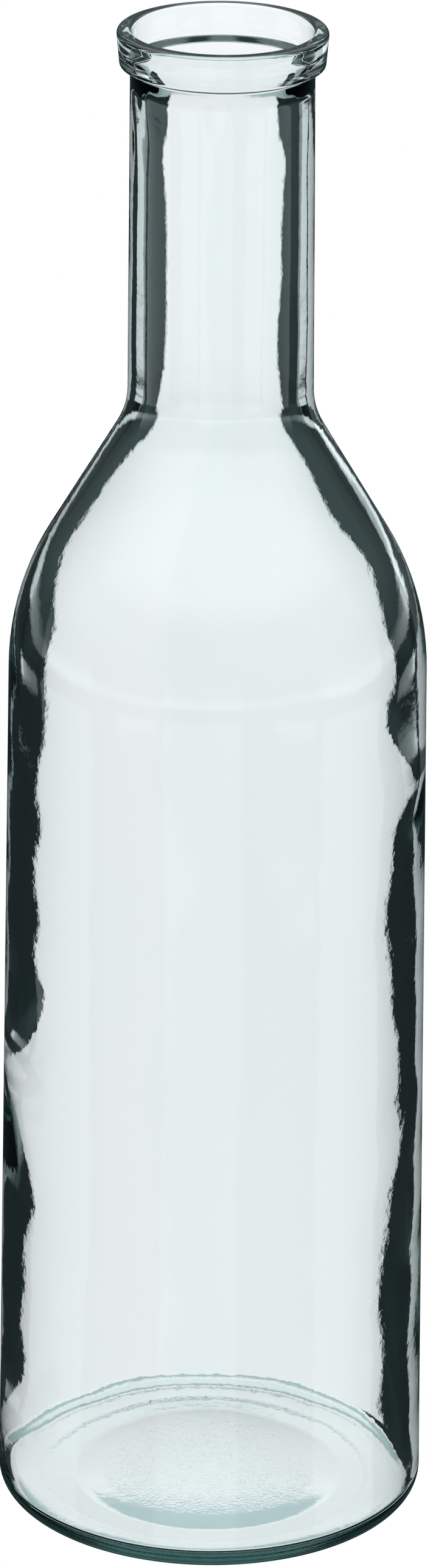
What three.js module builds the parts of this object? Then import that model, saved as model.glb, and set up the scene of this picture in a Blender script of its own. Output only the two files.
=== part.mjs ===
// Tall bottle-shaped flower vase in thick recycled glass, free-standing, with no moving parts.
//
// Frame: millimetres, +Z up along the vase's axis, origin at the centre of the bearing ring's plane.
//
// The vase is one continuous wall of glass. It is laid out here as the five regions that a bottle
// maker names: lip collar, neck, shoulder, body wall and base. Neighbours face each other across a
// 0.3 mm joint line, so that each region is a plain ring-shaped solid that stays open inside.
import * as THREE from 'three';

// ---- Driving dimensions, in millimetres and degrees ----
const HEIGHT = 500;
const JOINT_LINE = 0.3;
const SEGMENTS = 72;

const BASE_RADIUS = 70;
const BODY_TOP_RADIUS = 66.9;
const BODY_WALL = 4.2;
const BODY_TOP_Z = 289;

const BASE_TOP_Z = 22;
const HEEL_RADIUS = 7;
const HEEL_STEPS = 6;
const PUSH_UP_RADIUS = 43.5;
const PUSH_UP_HEIGHT = 1.4;
const PUSH_UP_STEPS = 4;
const FLOOR_EDGE_Z = 5.4;
const FLOOR_CENTRE_Z = 6.4;
const FLOOR_CORNER = 2;
const FLOOR_CORNER_STEPS = 5;

const SHOULDER_ANGLE = 31;
const SHOULDER_CROWN = 88;
const SHOULDER_HOLLOW = 26;
const SHOULDER_STEPS = 7;

const NECK_BOTTOM_RADIUS = 29.4;
const NECK_TOP_RADIUS = 28.8;
const NECK_WALL = 4.6;
const NECK_TOP_Z = 487.6;

const COLLAR_RADIUS = 33;
const COLLAR_LOWER_RADIUS = 32.2;
const COLLAR_UNDERSIDE_RISE = 0.8;
const COLLAR_CORNER = 1.1;
const LIP_ROUNDING = 1.5;
const MOUTH_ROUNDING = 1.1;
const ROUNDING_STEPS = 3;
const MOUTH_RADIUS = 28.3;
const FUNNEL_TOP_Z = 494;
const FUNNEL_FOOT_Z = 476;
const FUNNEL_STEPS = 4;

// Pale blue-green of recycled glass, a little deeper where the glass is thick.
const THIN_GLASS = 0xd3e6e3;
const SHOULDER_GLASS = 0xcbe1de;
const BASE_GLASS = 0xc4dcd8;
const COLLAR_GLASS = 0xbcd8d3;
const GLASS_ROUGHNESS = 0.05;

// ---- Outline helpers: every outline is a list of [radius, height] pairs ----

// Points on an arc round (centreR, centreZ), from one angle to another in degrees, 0 pointing outwards.
function arc(centreR, centreZ, radius, fromDeg, toDeg, steps) {
  const points = [];
  for (let i = 0; i <= steps; i += 1) {
    const angle = THREE.MathUtils.degToRad(THREE.MathUtils.lerp(fromDeg, toDeg, i / steps));
    points.push([centreR + radius * Math.cos(angle), centreZ + radius * Math.sin(angle)]);
  }
  return points;
}

// The shallow dome under the base: its height falls as 1 - (r / R) cubed from the axis to the edge.
function pushUp() {
  const points = [];
  for (let i = 0; i <= PUSH_UP_STEPS; i += 1) {
    const share = i / PUSH_UP_STEPS;
    points.push([PUSH_UP_RADIUS * share, PUSH_UP_HEIGHT * (1 - share ** 3)]);
  }
  return points;
}

// Outer radius of the body wall at a height: the body widens evenly from the shoulder to the heel.
function bodyRadius(z) {
  return THREE.MathUtils.mapLinear(z, HEEL_RADIUS, BODY_TOP_Z, BASE_RADIUS, BODY_TOP_RADIUS);
}

// Outer radius of the neck at a height, from where the shoulder ends to the collar.
function neckRadius(z) {
  return THREE.MathUtils.mapLinear(z, shoulderTopZ, NECK_TOP_Z, NECK_BOTTOM_RADIUS, NECK_TOP_RADIUS);
}

// The mouth narrows to the bore along a half cosine. Points on it, from a height down to a lower one.
function funnel(fromZ, toZ) {
  const points = [];
  for (let i = 0; i <= FUNNEL_STEPS; i += 1) {
    const z = THREE.MathUtils.lerp(fromZ, toZ, i / FUNNEL_STEPS);
    const share = (z - FUNNEL_FOOT_Z) / (FUNNEL_TOP_Z - FUNNEL_FOOT_Z);
    points.push([boreRadius + (MOUTH_RADIUS - boreRadius) * (1 - Math.cos(Math.PI * share)) / 2, z]);
  }
  return points;
}

// A shoulder outline from bottom to top: a crown arc, a straight cone and a hollow arc into the neck.
function shoulderOutline(bottomRadius, topRadius, crown, hollow) {
  const angle = THREE.MathUtils.degToRad(SHOULDER_ANGLE);
  const arcsInward = (crown + hollow) * (1 - Math.cos(angle));
  const coneHeight = (bottomRadius - topRadius - arcsInward) / Math.tan(angle);
  const topZ = BODY_TOP_Z + (crown + hollow) * Math.sin(angle) + coneHeight;
  return [
    ...arc(bottomRadius - crown, BODY_TOP_Z, crown, 0, SHOULDER_ANGLE, SHOULDER_STEPS),
    ...arc(topRadius + hollow, topZ, hollow, 180 + SHOULDER_ANGLE, 180, SHOULDER_STEPS),
  ];
}

// A solid of revolution about +Z from a closed outline that runs up its outside and down its inside.
function turned(name, outline, colour) {
  const closed = [...outline, outline[0]];
  const profile = closed.map(([radius, height]) => new THREE.Vector2(radius, height));
  const geometry = new THREE.LatheGeometry(profile, SEGMENTS);
  geometry.rotateX(Math.PI / 2);
  const material = new THREE.MeshStandardMaterial({
    color: colour,
    roughness: GLASS_ROUGHNESS,
    metalness: 0,
  });
  const mesh = new THREE.Mesh(geometry, material);
  mesh.name = name;
  return mesh;
}

// ---- Shared joints between regions ----
const shoulderOuter = shoulderOutline(
  BODY_TOP_RADIUS,
  NECK_BOTTOM_RADIUS,
  SHOULDER_CROWN,
  SHOULDER_HOLLOW,
);
const shoulderTopZ = shoulderOuter[shoulderOuter.length - 1][1];
const boreRadius = NECK_BOTTOM_RADIUS - NECK_WALL;

// ---- Base: rounded heel, flat bearing ring, domed push-up underneath and a low-crowned floor ----
function base() {
  const wallInner = bodyRadius(BASE_TOP_Z) - BODY_WALL;
  const outline = [
    ...pushUp(),
    ...arc(BASE_RADIUS - HEEL_RADIUS, HEEL_RADIUS, HEEL_RADIUS, -90, 0, HEEL_STEPS),
    [bodyRadius(BASE_TOP_Z), BASE_TOP_Z],
    [wallInner, BASE_TOP_Z],
    ...arc(wallInner - FLOOR_CORNER, FLOOR_EDGE_Z + FLOOR_CORNER, FLOOR_CORNER, 0, -90, FLOOR_CORNER_STEPS),
    [0, FLOOR_CENTRE_Z],
  ];
  return turned('base', outline, BASE_GLASS);
}

// ---- Body wall: the tall, very slightly tapered tube that holds the water and the stems ----
function bodyWall() {
  const bottom = BASE_TOP_Z + JOINT_LINE;
  const top = BODY_TOP_Z - JOINT_LINE;
  const outline = [
    [bodyRadius(bottom), bottom],
    [bodyRadius(top), top],
    [bodyRadius(top) - BODY_WALL, top],
    [bodyRadius(bottom) - BODY_WALL, bottom],
  ];
  return turned('body_wall', outline, THIN_GLASS);
}

// ---- Shoulder: draws the body in to the neck ----
function shoulder() {
  const inner = shoulderOutline(
    BODY_TOP_RADIUS - BODY_WALL,
    boreRadius,
    SHOULDER_CROWN - BODY_WALL,
    SHOULDER_HOLLOW + NECK_WALL,
  );
  const innerTopZ = inner[inner.length - 1][1];
  const levelTop = inner.map(([radius, height]) => [
    radius,
    THREE.MathUtils.mapLinear(height, BODY_TOP_Z, innerTopZ, BODY_TOP_Z, shoulderTopZ),
  ]);
  return turned('shoulder', [...shoulderOuter, ...levelTop.reverse()], SHOULDER_GLASS);
}

// ---- Neck: the nearly straight tube under the collar; the mouth's funnel ends inside it ----
function neck() {
  const bottom = shoulderTopZ + JOINT_LINE;
  const top = NECK_TOP_Z - JOINT_LINE;
  const outline = [
    [neckRadius(bottom), bottom],
    [neckRadius(top), top],
    ...funnel(top, FUNNEL_FOOT_Z),
    [boreRadius, bottom],
  ];
  return turned('neck', outline, THIN_GLASS);
}

// ---- Lip collar: thick tapered band with a crisp lower edge, a flat rounded lip and a funnelled mouth ----
function lipCollar() {
  const cornerZ = NECK_TOP_Z + COLLAR_UNDERSIDE_RISE + COLLAR_CORNER;
  const lipR = COLLAR_RADIUS - LIP_ROUNDING;
  const mouthR = MOUTH_RADIUS + MOUTH_ROUNDING;
  const outline = [
    [NECK_TOP_RADIUS, NECK_TOP_Z],
    ...arc(COLLAR_LOWER_RADIUS - COLLAR_CORNER, cornerZ, COLLAR_CORNER, -90, 0, ROUNDING_STEPS),
    ...arc(lipR, HEIGHT - LIP_ROUNDING, LIP_ROUNDING, 0, 90, ROUNDING_STEPS),
    ...arc(mouthR, HEIGHT - MOUTH_ROUNDING, MOUTH_ROUNDING, 90, 180, ROUNDING_STEPS),
    ...funnel(FUNNEL_TOP_Z, NECK_TOP_Z),
  ];
  return turned('lip_collar', outline, COLLAR_GLASS);
}

// ---- The vase ----
const vase = new THREE.Group();
vase.add(base(), bodyWall(), shoulder(), neck(), lipCollar());

export default vase;
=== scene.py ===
import math

import bpy
import numpy as np
from mathutils import Matrix, Vector


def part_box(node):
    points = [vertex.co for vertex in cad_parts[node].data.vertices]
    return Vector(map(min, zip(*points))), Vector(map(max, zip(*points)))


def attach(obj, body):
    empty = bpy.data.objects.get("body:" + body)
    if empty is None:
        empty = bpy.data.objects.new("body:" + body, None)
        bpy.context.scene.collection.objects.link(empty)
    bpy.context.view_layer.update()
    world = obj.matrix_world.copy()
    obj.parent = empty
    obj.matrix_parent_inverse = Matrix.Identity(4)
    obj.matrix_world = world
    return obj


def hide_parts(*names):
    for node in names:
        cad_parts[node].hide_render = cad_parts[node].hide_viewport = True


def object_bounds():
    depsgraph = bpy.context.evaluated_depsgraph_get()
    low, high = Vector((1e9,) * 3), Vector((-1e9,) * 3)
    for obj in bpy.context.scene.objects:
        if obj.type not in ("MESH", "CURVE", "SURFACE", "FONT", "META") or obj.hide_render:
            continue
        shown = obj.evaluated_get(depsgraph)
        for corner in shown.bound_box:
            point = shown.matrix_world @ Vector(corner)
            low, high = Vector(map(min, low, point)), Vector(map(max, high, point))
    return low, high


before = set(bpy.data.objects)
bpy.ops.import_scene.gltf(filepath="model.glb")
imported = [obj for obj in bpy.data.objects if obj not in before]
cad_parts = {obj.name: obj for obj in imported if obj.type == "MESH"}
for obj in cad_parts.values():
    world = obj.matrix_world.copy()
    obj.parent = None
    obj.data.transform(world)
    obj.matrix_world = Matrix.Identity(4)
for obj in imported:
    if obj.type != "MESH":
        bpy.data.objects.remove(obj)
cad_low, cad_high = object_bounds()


# ---- Camera ----
# A portrait view from in front and above, as a customer sees the vase on a low table. The lens is
# long and the camera is four and a half vase heights away, so the sides stay nearly parallel.
CAMERA_DISTANCE = 2.25
CAMERA_HEIGHT = 1.14
CAMERA_LENS = 172.6
CAMERA_ROLL = 0.62
CAMERA_AIM_SIDE = -0.0006
CAMERA_AIM_UP = 0.2484

camera_data = bpy.data.cameras.new("studio_camera")
camera_data.lens = CAMERA_LENS
camera_data.sensor_width = 36
camera_data.clip_start = 0.1
camera_data.clip_end = 50
camera = bpy.data.objects.new("studio_camera", camera_data)
camera_place = Vector((0, -CAMERA_DISTANCE, CAMERA_HEIGHT))
camera_aim = Vector((CAMERA_AIM_SIDE, 0, CAMERA_AIM_UP))
camera_turn = (camera_aim - camera_place).to_track_quat("-Z", "Y").to_matrix().to_4x4()
camera_roll = Matrix.Rotation(math.radians(CAMERA_ROLL), 4, "Z")
camera.matrix_world = Matrix.Translation(camera_place) @ camera_turn @ camera_roll
bpy.context.scene.collection.objects.link(camera)
bpy.context.scene.camera = camera


# ---- Glass vessel: the base's outline ----
# The whole vase is one piece of mould-blown recycled glass. Its foot has a shallow push-up under the
# floor, a flat stippled ring that it stands on, a rounded heel, and a thin floor with a low crown.
BASE_RADIUS = cad_high[0]
WALL = 0.0042
HEEL = 0.007
PUSH_UP_RADIUS = 0.0435
PUSH_UP_HEIGHT = 0.0014
FLOOR_EDGE = 0.0054
FLOOR_CENTRE = 0.0064
FLOOR_CORNER = 0.0020
PUSH_UP_RINGS = 18
STANDING_RINGS = 20
HEEL_RINGS = 12
CORNER_RINGS = 12
FLOOR_RINGS = 12


def arc(centre_r, centre_z, radius, start, end, count):
    """Points on a circular arc: centre plus radius times (cos, sin) of an angle from start to end.

    The angles are in degrees, and 0 points outwards.
    """
    angle = np.radians(np.linspace(start, end, count))
    return np.column_stack([centre_r + radius * np.cos(angle), centre_z + radius * np.sin(angle)])


def between(start, end, count):
    """Evenly spaced points on the straight line from start to end, with both ends left out."""
    share = np.linspace(0, 1, count + 2)[1:-1, None]
    return (1 - share) * np.array(start) + share * np.array(end)


def underside():
    """Push-up: height times 1 - (r / R) cubed, then the flat ring and the heel's quarter circle."""
    share = np.linspace(0, 1, PUSH_UP_RINGS + 1)[1:]
    push_up = np.column_stack([PUSH_UP_RADIUS * share, PUSH_UP_HEIGHT * (1 - share**3)])
    heel = arc(BASE_RADIUS - HEEL, HEEL, HEEL, -90, 0, HEEL_RINGS)
    return np.vstack([push_up, between(push_up[-1], heel[0], STANDING_RINGS), heel])


def floor_inside():
    """Round the inner corner's arc from the wall's foot, then a floor with a low crown.

    The floor rises as (1 + cos(pi r / R)) / 2, from its edge to its centre.
    """
    corner_r = BASE_RADIUS - WALL - FLOOR_CORNER
    corner = arc(corner_r, FLOOR_EDGE + FLOOR_CORNER, FLOOR_CORNER, 0, -90, CORNER_RINGS)
    share = np.linspace(1, 0, FLOOR_RINGS + 1)[1:-1]
    rise = FLOOR_EDGE + (FLOOR_CENTRE - FLOOR_EDGE) * (1 + np.cos(math.pi * share)) / 2
    return np.vstack([corner, np.column_stack([corner_r * share, rise])])


# ---- Glass vessel: the shoulder's outline ----
# The wall is about 4 mm thick. The tall body widens a little to the heel, and a shoulder with a
# crowned lower half and a hollow upper half leads to the nearly straight neck.
shoulder_low, shoulder_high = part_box("shoulder")
neck_low, neck_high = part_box("neck")
collar_low, collar_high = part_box("lip_collar")
BODY_TOP_RADIUS = shoulder_high[0]
BODY_TOP_Z = shoulder_low[2]
NECK_RADIUS = neck_high[0]
NECK_LOW_Z = neck_low[2]
NECK_WALL = 0.0046
NECK_TAPER = 0.0006
BORE = NECK_RADIUS - NECK_WALL
SHOULDER_ANGLE = 31
SHOULDER_CROWN = 0.088
SHOULDER_HOLLOW = 0.026
CROWN_RINGS = 12
CONE_RINGS = 5
HOLLOW_RINGS = 8


def shoulder(bottom_r, top_r, crown, hollow):
    """A crown arc that starts upright, a straight cone, and a hollow arc that ends upright."""
    low = arc(bottom_r - crown, BODY_TOP_Z, crown, 0, SHOULDER_ANGLE, CROWN_RINGS)
    high = arc(top_r + hollow, NECK_LOW_Z, hollow, 180 + SHOULDER_ANGLE, 180, HOLLOW_RINGS)
    return np.vstack([low, between(low[-1], high[0], CONE_RINGS), high])


# ---- Glass vessel: the lip collar's outline ----
# A heavy band round the mouth, pressed in the neck ring of the mould. Its lower edge is crisp, its
# lip is flat with rounded corners, and the mouth narrows smoothly to the neck's bore.
HEIGHT = cad_high[2]
COLLAR_RADIUS = collar_high[0]
COLLAR_TAPER = 0.0008
COLLAR_FOOT_Z = collar_low[2]
COLLAR_FILLET = 0.0008
COLLAR_CORNER = 0.0011
LIP = 0.0015
MOUTH_RADIUS = 0.0283
MOUTH_LIP = 0.0011
FUNNEL_TOP_Z = HEIGHT - 0.006
FUNNEL_FOOT_Z = HEIGHT - 0.020
FUNNEL_RINGS = 14
FILLET_RINGS = 5
COLLAR_CORNER_RINGS = 7
LIP_RINGS = 8
COLLAR_BAND_RINGS = 5
COLLAR_FLAT_RINGS = 3


def collar():
    """Fillet, underside, lower corner, tapered band and lip, and then the mouth.

    The mouth narrows to the bore as (1 + cos(pi s)) / 2, with s from 0 at its top to 1 at its foot.
    """
    neck_top = NECK_RADIUS - NECK_TAPER
    lower_r = COLLAR_RADIUS - COLLAR_TAPER
    fillet = arc(neck_top + COLLAR_FILLET, COLLAR_FOOT_Z - COLLAR_FILLET, COLLAR_FILLET,
                 180, 98, FILLET_RINGS)
    corner = arc(lower_r - COLLAR_CORNER, COLLAR_FOOT_Z + COLLAR_FILLET + COLLAR_CORNER, COLLAR_CORNER,
                 -80, -4, COLLAR_CORNER_RINGS)
    lip = arc(COLLAR_RADIUS - LIP, HEIGHT - LIP, LIP, 0, 86, LIP_RINGS)
    mouth = arc(MOUTH_RADIUS + MOUTH_LIP, HEIGHT - MOUTH_LIP, MOUTH_LIP, 94, 180, LIP_RINGS)
    share = np.linspace(0, 1, FUNNEL_RINGS)
    funnel = np.column_stack([BORE + (MOUTH_RADIUS - BORE) * (1 + np.cos(math.pi * share)) / 2,
                              FUNNEL_TOP_Z + (FUNNEL_FOOT_Z - FUNNEL_TOP_Z) * share])
    return np.vstack([
        fillet, between(fillet[-1], corner[0], COLLAR_FLAT_RINGS), corner,
        between(corner[-1], lip[0], COLLAR_BAND_RINGS), lip,
        between(lip[-1], mouth[0], COLLAR_FLAT_RINGS), mouth,
        between(mouth[-1], funnel[0], COLLAR_FLAT_RINGS), funnel])


# ---- Glass vessel: the mesh ----
# The outline is turned about the axis, from under the base's centre, up the outside, over the lip
# and down the inside. Blowing leaves the inner wall uneven, with streaks under the collar, and the
# neck leans by half a millimetre. The depths and places of the thin spots are guesses.
SIDES = 360
LEAN = 0.0005
STIPPLE_RADII = (0.0524, 0.0613)
STIPPLE_WIDTH = 0.0012
STIPPLE_HEIGHT = 0.00010
STIPPLE_AT_FRONT = 0.25
STIPPLE_GAIN_AT_BACK = 0.75
GRAINED_RADIUS = 0.035
PUSH_UP_GRAIN = 0.24
LONG_WAVE = 0.00020
MIDDLE_WAVE = 0.00005
SHORT_WAVE = 0.000010
STREAK_DEPTH = 0.00014
STREAK_Z = 0.476
STREAK_SPREAD = 0.016
DEEP_SPOT = 0.0022
SHALLOW_SPOT = 0.0010
EVEN_CENTRE = 0.02
BODY_RINGS = 14
NECK_RINGS = 8
BORE_RINGS = 22
INNER_BODY_RINGS = 44

base_outside = underside()
shoulder_outside = shoulder(BODY_TOP_RADIUS, NECK_RADIUS, SHOULDER_CROWN, SHOULDER_HOLLOW)
collar_outline = collar()
shoulder_inside = shoulder(
    BODY_TOP_RADIUS - WALL, BORE, SHOULDER_CROWN - WALL, SHOULDER_HOLLOW + NECK_WALL)[::-1]
base_inside = floor_inside()
outline_outside = np.vstack([
    base_outside, between(base_outside[-1], shoulder_outside[0], BODY_RINGS), shoulder_outside,
    between(shoulder_outside[-1], collar_outline[0], NECK_RINGS), collar_outline[:-FUNNEL_RINGS]])
outline_inside = np.vstack([
    collar_outline[-FUNNEL_RINGS:], between(collar_outline[-1], shoulder_inside[0], BORE_RINGS),
    shoulder_inside, between(shoulder_inside[-1], base_inside[0], INNER_BODY_RINGS), base_inside])
outline = np.vstack([outline_outside, outline_inside])
RINGS = len(outline)

turn = np.linspace(0, 2 * math.pi, SIDES, endpoint=False)[None]
radius = outline[:, :1] + 0 * turn
height = outline[:, 1:] + 0 * turn
turn = turn + 0 * radius


def waves(seed, count, lobes, lengths):
    """A sum of cosines of (lobes times angle) times cosines of (2 pi height / length).

    Each wave has a seeded phase, and the sum is scaled to unit variance.
    """
    draw = np.random.default_rng(seed)
    around = draw.integers(lobes[0], lobes[1] + 1, count)[:, None, None]
    along = 2 * math.pi / draw.uniform(lengths[0], lengths[1], count)[:, None, None]
    phase = draw.uniform(0, 2 * math.pi, (count, 2, 1, 1))
    both = np.cos(around * turn + phase[:, 0]) * np.cos(along * height + phase[:, 1])
    return 2 * both.sum(0) / math.sqrt(count)


def thin_spot(at_turn, at_height, wide, fade_up, fade_down):
    """A smooth spot: exp of minus (angle off / wide) to the 4th and minus (height off / fade) squared."""
    away = np.angle(np.exp(1j * (turn - math.radians(at_turn)))) / math.radians(wide)
    off = height - at_height
    return np.exp(-(away**4) - (off / np.where(off > 0, fade_up, fade_down)) ** 2)


uneven = LONG_WAVE * waves(3, 7, (1, 3), (0.12, 0.4))
uneven += MIDDLE_WAVE * waves(5, 14, (2, 6), (0.03, 0.09))
uneven += SHORT_WAVE * waves(8, 16, (6, 14), (0.012, 0.03))
streaked = np.exp(-((height - STREAK_Z) / STREAK_SPREAD) ** 2)
uneven += STREAK_DEPTH * waves(21, 14, (8, 20), (0.02, 0.06)) * streaked
uneven += DEEP_SPOT * thin_spot(180, 0.148, 34, 0.011, 0.026)
uneven += DEEP_SPOT * thin_spot(180, 0.016, 36, 0.016, 0.016)
uneven += SHALLOW_SPOT * thin_spot(2, 0.252, 30, 0.010, 0.007)
is_inside = (np.arange(RINGS) >= len(outline_outside))[:, None]
off_centre = np.clip((radius - EVEN_CENTRE) / EVEN_CENTRE, 0, 1)
radius = radius + uneven * is_inside * off_centre

from_ring = np.abs(outline[:, :1] - np.array(STIPPLE_RADII)).min(1, keepdims=True)
on_ring = (from_ring < STIPPLE_WIDTH / 2) & (outline[:, 1:] < STIPPLE_HEIGHT)
on_push_up = ((np.arange(RINGS) < PUSH_UP_RINGS) & (outline[:, 0] < GRAINED_RADIUS))[:, None]
at_back = np.clip(np.sin(turn), 0, 1) ** 2
stipple = on_ring * (STIPPLE_AT_FRONT + STIPPLE_GAIN_AT_BACK * at_back) + PUSH_UP_GRAIN * on_push_up
height = height + on_ring * stipple * STIPPLE_HEIGHT * np.random.default_rng(11).random(height.shape)

lean = -LEAN * np.clip((height - NECK_LOW_Z) / (HEIGHT - NECK_LOW_Z), 0, 1)
points = np.stack([radius * np.cos(turn) + lean, radius * np.sin(turn), height], -1).reshape(-1, 3)
points = np.vstack([points, [[0, 0, PUSH_UP_HEIGHT], [0, 0, FLOOR_CENTRE]]])

here = np.arange(SIDES)
after = (here + 1) % SIDES
ring_start = np.arange(RINGS - 1)[:, None] * SIDES
next_start = ring_start + SIDES
walls = np.stack([
    ring_start + here, ring_start + after, next_start + after, next_start + here], -1).reshape(-1, 4)
pole = RINGS * SIDES
last = pole - SIDES
under_pole = np.stack([np.full(SIDES, pole), after, here], -1)
floor_pole = np.stack([np.full(SIDES, pole + 1), last + here, last + after], -1)

mesh = bpy.data.meshes.new("glass_vessel")
mesh.from_pydata(points.tolist(), [], walls.tolist() + under_pole.tolist() + floor_pole.tolist())
mesh.polygons.foreach_set("use_smooth", np.ones(len(mesh.polygons), bool))
mark = mesh.attributes.new("stipple", "FLOAT", "POINT")
mark.data.foreach_set("value", np.append(stipple.ravel(), [0, 0]))
mesh.update()
vessel = bpy.data.objects.new("glass_vessel", mesh)
bpy.context.scene.collection.objects.link(vessel)
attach(vessel, "root")
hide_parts("base", "body_wall", "shoulder", "neck", "lip_collar")


# ---- Glass vessel: recycled glass ----
# Clear glass with the faint blue-green of recycled bottles. The mould leaves an orange-peel skin. The
# standing ring is stippled, and the middle of the push-up has a fainter grain of the same kind.
GLASS_TINT = (0.62, 0.93, 0.92, 1)
TINT_DENSITY = 14
PEEL_GRAINS = 260
PEEL_DEPTH = 0.000014
STIPPLE_GRAINS = 900
STIPPLE_DEPTH = 0.00022

glass = bpy.data.materials.new("recycled_glass")
glass.use_nodes = True
glass_nodes = glass.node_tree.nodes
glass_links = glass.node_tree.links
shader = glass_nodes["Principled BSDF"]
shader.inputs["Base Color"].default_value = (1, 1, 1, 1)
shader.inputs["Roughness"].default_value = 0.0
shader.inputs["IOR"].default_value = 1.5
shader.inputs["Transmission Weight"].default_value = 1
tint = glass_nodes.new("ShaderNodeVolumeAbsorption")
tint.inputs["Color"].default_value = GLASS_TINT
tint.inputs["Density"].default_value = TINT_DENSITY
glass_links.new(tint.outputs[0], glass_nodes["Material Output"].inputs["Volume"])

place = glass_nodes.new("ShaderNodeTexCoord")
peel = glass_nodes.new("ShaderNodeTexNoise")
peel.inputs["Scale"].default_value = PEEL_GRAINS
peel.inputs["Detail"].default_value = 2
glass_links.new(place.outputs["Object"], peel.inputs["Vector"])
peel_bump = glass_nodes.new("ShaderNodeBump")
peel_bump.inputs["Distance"].default_value = PEEL_DEPTH
glass_links.new(peel.outputs["Fac"], peel_bump.inputs["Height"])

ring = glass_nodes.new("ShaderNodeAttribute")
ring.attribute_name = "stipple"
grains = glass_nodes.new("ShaderNodeTexNoise")
grains.inputs["Scale"].default_value = STIPPLE_GRAINS
glass_links.new(place.outputs["Object"], grains.inputs["Vector"])
grain_bump = glass_nodes.new("ShaderNodeBump")
grain_bump.inputs["Distance"].default_value = STIPPLE_DEPTH
glass_links.new(ring.outputs["Fac"], grain_bump.inputs["Strength"])
glass_links.new(grains.outputs["Fac"], grain_bump.inputs["Height"])
glass_links.new(peel_bump.outputs[0], grain_bump.inputs["Normal"])
glass_links.new(grain_bump.outputs[0], shader.inputs["Normal"])
mesh.materials.append(glass)


# ---- Table ----
# A stage table that only the camera sees, as plain white. Every other ray passes through it to the
# light below, so the vase throws no shadow on it. It is not a real painted table top.
TABLE_HALF = 3.0
TABLE_GAP = 0.0005

table_mesh = bpy.data.meshes.new("white_table")
corners = [(-1, -1), (1, -1), (1, 1), (-1, 1)]
table_mesh.from_pydata(
    [(x * TABLE_HALF, y * TABLE_HALF, -TABLE_GAP) for x, y in corners], [], [(0, 1, 2, 3)])
table = bpy.data.objects.new("white_table", table_mesh)
bpy.context.scene.collection.objects.link(table)

table_paint = bpy.data.materials.new("white_table")
table_paint.use_nodes = True
table_nodes = table_paint.node_tree.nodes
table_links = table_paint.node_tree.links
table_nodes.remove(table_nodes["Principled BSDF"])
table_ray = table_nodes.new("ShaderNodeLightPath")
white = table_nodes.new("ShaderNodeEmission")
clear = table_nodes.new("ShaderNodeBsdfTransparent")
seen = table_nodes.new("ShaderNodeMixShader")
table_links.new(table_ray.outputs["Is Camera Ray"], seen.inputs["Fac"])
table_links.new(clear.outputs[0], seen.inputs[1])
table_links.new(white.outputs[0], seen.inputs[2])
table_links.new(seen.outputs[0], table_nodes["Material Output"].inputs["Surface"])
table_mesh.materials.append(table_paint)


# ---- Studio light ----
# Lit panels every 45 degrees, with black flags between them, draw the dark lines beside each edge of
# the glass. This is a stage light, not a plain soft one: rays that went straight through, that
# reflected once inside the glass, and that reflected more often each meet panels of their own.
PANEL_STEP = 45
PANEL_HALF = 9.7
PANEL_BLUR = 0.5
NECK_PANEL_HALF = 8.3
EDGE_PANEL_NEAR = 29
EDGE_PANEL_FAR = 15
CORNER_PANEL_HALF = 12
BLACK = (0, 0, 0)
WHITE = (1, 1, 1)
FLAG = (0.012, 0.020, 0.021)
NECK_GLOW = (0.020, 0.032, 0.032)
LOW_PART = (0.1, 0.1, 0.1)
DEEP_FLAG = (0.02, 0.03, 0.03)
DEEP_PANEL = (0.14, 0.17, 0.17)
DEEP_BLACK_HALF = 0.36
DEEP_PANEL_HALF = 0.22
PANEL = (0.98, 1.0, 1.01)
PANEL_SHADE = (0.93, 0.975, 0.985)
EDGE_PANEL = (0.68, 0.74, 0.75)

world = bpy.data.worlds.new("studio")
bpy.context.scene.world = world
world.use_nodes = True
nodes = world.node_tree.nodes
links = world.node_tree.links
sky = nodes["Background"]
direction = nodes.new("ShaderNodeTexCoord")
axes = nodes.new("ShaderNodeSeparateXYZ")
links.new(direction.outputs["Generated"], axes.inputs[0])
ray = nodes.new("ShaderNodeLightPath")


def maths(operation, first, second=0.0):
    """One Math node on two sockets or numbers."""
    node = nodes.new("ShaderNodeMath")
    node.operation = operation
    for socket, value in zip(node.inputs, (first, second)):
        if isinstance(value, bpy.types.NodeSocket):
            links.new(value, socket)
        else:
            socket.default_value = value
    return node.outputs[0]


def shades(value, stops):
    """A colour ramp over a socket's 0 to 1, from (position, colour) stops."""
    node = nodes.new("ShaderNodeValToRGB")
    elements = node.color_ramp.elements
    for _ in stops[2:]:
        elements.new(0.5)
    for element, (position, colour) in zip(elements, stops):
        element.position = position
        element.color = (*colour, 1)
    links.new(value, node.inputs[0])
    return node.outputs[0]


def blend(factor, first, second, kind="MIX"):
    """One colour Mix node: first where the factor is 0, second where it is 1."""
    node = nodes.new("ShaderNodeMix")
    node.data_type = "RGBA"
    node.blend_type = kind
    for name, value in (("Factor", factor), ("A", first), ("B", second)):
        if isinstance(value, bpy.types.NodeSocket):
            links.new(value, node.inputs[name])
        else:
            node.inputs[name].default_value = value
    return node.outputs["Result"]


def share_of(step):
    """Azimuth as a share of a step, wrapped to 0..1 so that 0.5 is a multiple of the step in degrees."""
    steps = maths("DIVIDE", azimuth, math.radians(step))
    return maths("ADD", maths("SUBTRACT", steps, maths("ROUND", steps)), 0.5)


azimuth = maths("ARCTAN2", axes.outputs["Y"], axes.outputs["X"])
# Level is 0 straight down, 0.5 on the horizon and 1 straight up.
level = maths("MULTIPLY", maths("ADD", axes.outputs["Z"], 1.0), 0.5)

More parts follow.
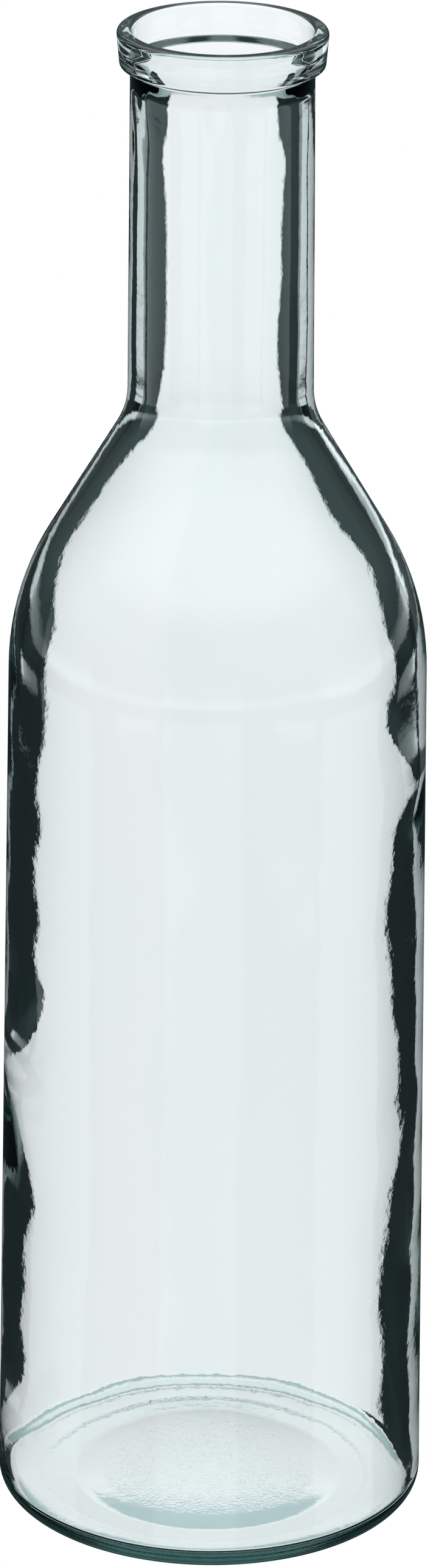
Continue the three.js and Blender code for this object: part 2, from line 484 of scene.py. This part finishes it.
half = PANEL_HALF / PANEL_STEP
blur = PANEL_BLUR / PANEL_STEP
narrow = shades(level, [(0.312, BLACK), (0.335, (PANEL_HALF / NECK_PANEL_HALF - 1,) * 3)])
from_panel = maths("MULTIPLY", maths("SUBTRACT", share_of(PANEL_STEP), 0.5), maths("ADD", 1.0, narrow))
panels = shades(maths("ADD", from_panel, 0.5), [
    (0.5 - half - blur, FLAG), (0.5 - half + blur, PANEL_SHADE), (0.5 - half / 2, PANEL),
    (0.5 + 0.08 * half, PANEL_SHADE), (0.5 + 0.14 * half, PANEL), (0.5 + half - blur, PANEL),
    (0.5 + half + blur, FLAG)])

quarter = share_of(2 * PANEL_STEP)
near = EDGE_PANEL_NEAR / (2 * PANEL_STEP)
far = EDGE_PANEL_FAR / (2 * PANEL_STEP)
edge_panels = shades(quarter, [
    (0.5 - near - blur, FLAG), (0.5 - near + blur, EDGE_PANEL), (0.5 + far - blur, EDGE_PANEL),
    (0.5 + far + blur, FLAG)])
corner = CORNER_PANEL_HALF / (2 * PANEL_STEP)
corner_panels = shades(quarter, [
    (corner - blur, EDGE_PANEL), (corner + blur, BLACK), (1 - corner - blur, BLACK),
    (1 - corner + blur, EDGE_PANEL)])
corner_rows = shades(level, [
    (0.325, BLACK), (0.338, WHITE), (0.362, WHITE), (0.368, BLACK)])
edge_rows = shades(level, [
    (0.25, (0.06, 0.09, 0.09)), (0.268, WHITE), (0.36, WHITE), (0.368, LOW_PART),
    (0.41, LOW_PART), (0.425, WHITE), (0.45, WHITE), (0.53, (0.12, 0.16, 0.16))])
slope_rows = shades(level, [(0.41, BLACK), (0.42, EDGE_PANEL), (0.44, EDGE_PANEL), (0.46, BLACK)])

# The kinds of ray: one wall is two glass faces, and straight means never reflected.
through_one_wall = maths("MULTIPLY", maths("LESS_THAN", ray.outputs["Transmission Depth"], 2.5),
                         maths("GREATER_THAN", ray.outputs["Transmission Depth"], 1.5))
once_reflected = maths("MULTIPLY", maths("LESS_THAN", ray.outputs["Glossy Depth"], 1.5),
                       maths("GREATER_THAN", ray.outputs["Glossy Depth"], 0.5))
edge_ray = maths("MULTIPLY", through_one_wall, once_reflected)
straight = maths("LESS_THAN", ray.outputs["Glossy Depth"], 0.5)
rim_ray = maths("MULTIPLY", through_one_wall, straight)
deep_ray = maths("GREATER_THAN", ray.outputs["Glossy Depth"], 1.5)
room_ray = maths("SUBTRACT", maths("SUBTRACT", 1.0, straight), edge_ray)

# Seen through the glass, the light below stands in for the table. It is white far off and a little greyer
# straight down. The darker teal band at levels 0.222 to 0.257 is painted shade: the table's shade under
# the vase, which the heel shows as a dark band.
table_with_painted_shade = shades(level, [
    (0.00, (0.85, 0.9, 0.9)), (0.20, (0.80, 0.9, 0.9)),
    (0.222, (0.43, 0.57, 0.58)), (0.257, (0.41, 0.55, 0.56)), (0.268, (0.95, 1.0, 1.0))])
is_under_table = shades(level, [(0.257, WHITE), (0.268, BLACK)])
overhead = shades(level, [(0.90, BLACK), (0.93, (1.4, 1.45, 1.5))])
room = shades(level, [
    (0.00, (0.05, 0.09, 0.09)), (0.24, (0.03, 0.05, 0.05)), (0.27, FLAG),
    (0.325, FLAG), (0.345, (0.030, 0.046, 0.046)), (0.45, (0.03, 0.045, 0.046)),
    (0.60, (0.20, 0.25, 0.25)), (0.70, (0.25, 0.29, 0.29)), (0.80, (1.6, 1.65, 1.7))])
neck_fill = shades(level, [
    (0.325, BLACK), (0.345, NECK_GLOW), (0.40, NECK_GLOW), (0.45, BLACK)])
deep_rows = shades(level, [
    (0.25, WHITE), (0.268, LOW_PART), (0.325, LOW_PART), (0.345, (0.3, 0.3, 0.3)),
    (0.45, WHITE)])
deep_sides = shades(quarter, [
    (0.5 - DEEP_BLACK_HALF, DEEP_FLAG), (0.5 - DEEP_PANEL_HALF, DEEP_PANEL),
    (0.5 + DEEP_PANEL_HALF, DEEP_PANEL), (0.5 + DEEP_BLACK_HALF, DEEP_FLAG)])
deep = blend(1.0, deep_rows, deep_sides, "MULTIPLY")

rim_light = shades(level, [(0.42, PANEL), (0.47, (0.16, 0.22, 0.22))])
edge_light = blend(1.0, edge_panels, blend(1.0, corner_panels, corner_rows, "MULTIPLY"), "ADD")
edge_light = blend(1.0, edge_light, edge_rows, "MULTIPLY")
edge_light = blend(1.0, edge_light, slope_rows, "ADD")
# The kinds are laid over each other in turn. The overhead panel is added before the last three.
light = blend(1.0, panels, neck_fill, "ADD")
light = blend(maths("MULTIPLY", is_under_table, straight), light, table_with_painted_shade)
light = blend(rim_ray, light, rim_light)
light = blend(edge_ray, light, edge_light)
light = blend(1.0, light, overhead, "ADD")
light = blend(room_ray, light, room)
light = blend(deep_ray, light, deep)
light = blend(ray.outputs["Is Camera Ray"], light, (1, 1, 1, 1))
links.new(light, sky.inputs["Color"])


# ---- Light paths through the glass ----
# Light crosses two glass faces at the rim and four or more elsewhere, and reflects inside the wall.
# Each ray is followed for up to 32 bounces. Colours are shown without a film curve.
scene = bpy.context.scene
scene.view_settings.view_transform = "Standard"
scene.cycles.max_bounces = 32
scene.cycles.transmission_bounces = 32
scene.cycles.glossy_bounces = 32
scene.cycles.transparent_max_bounces = 16
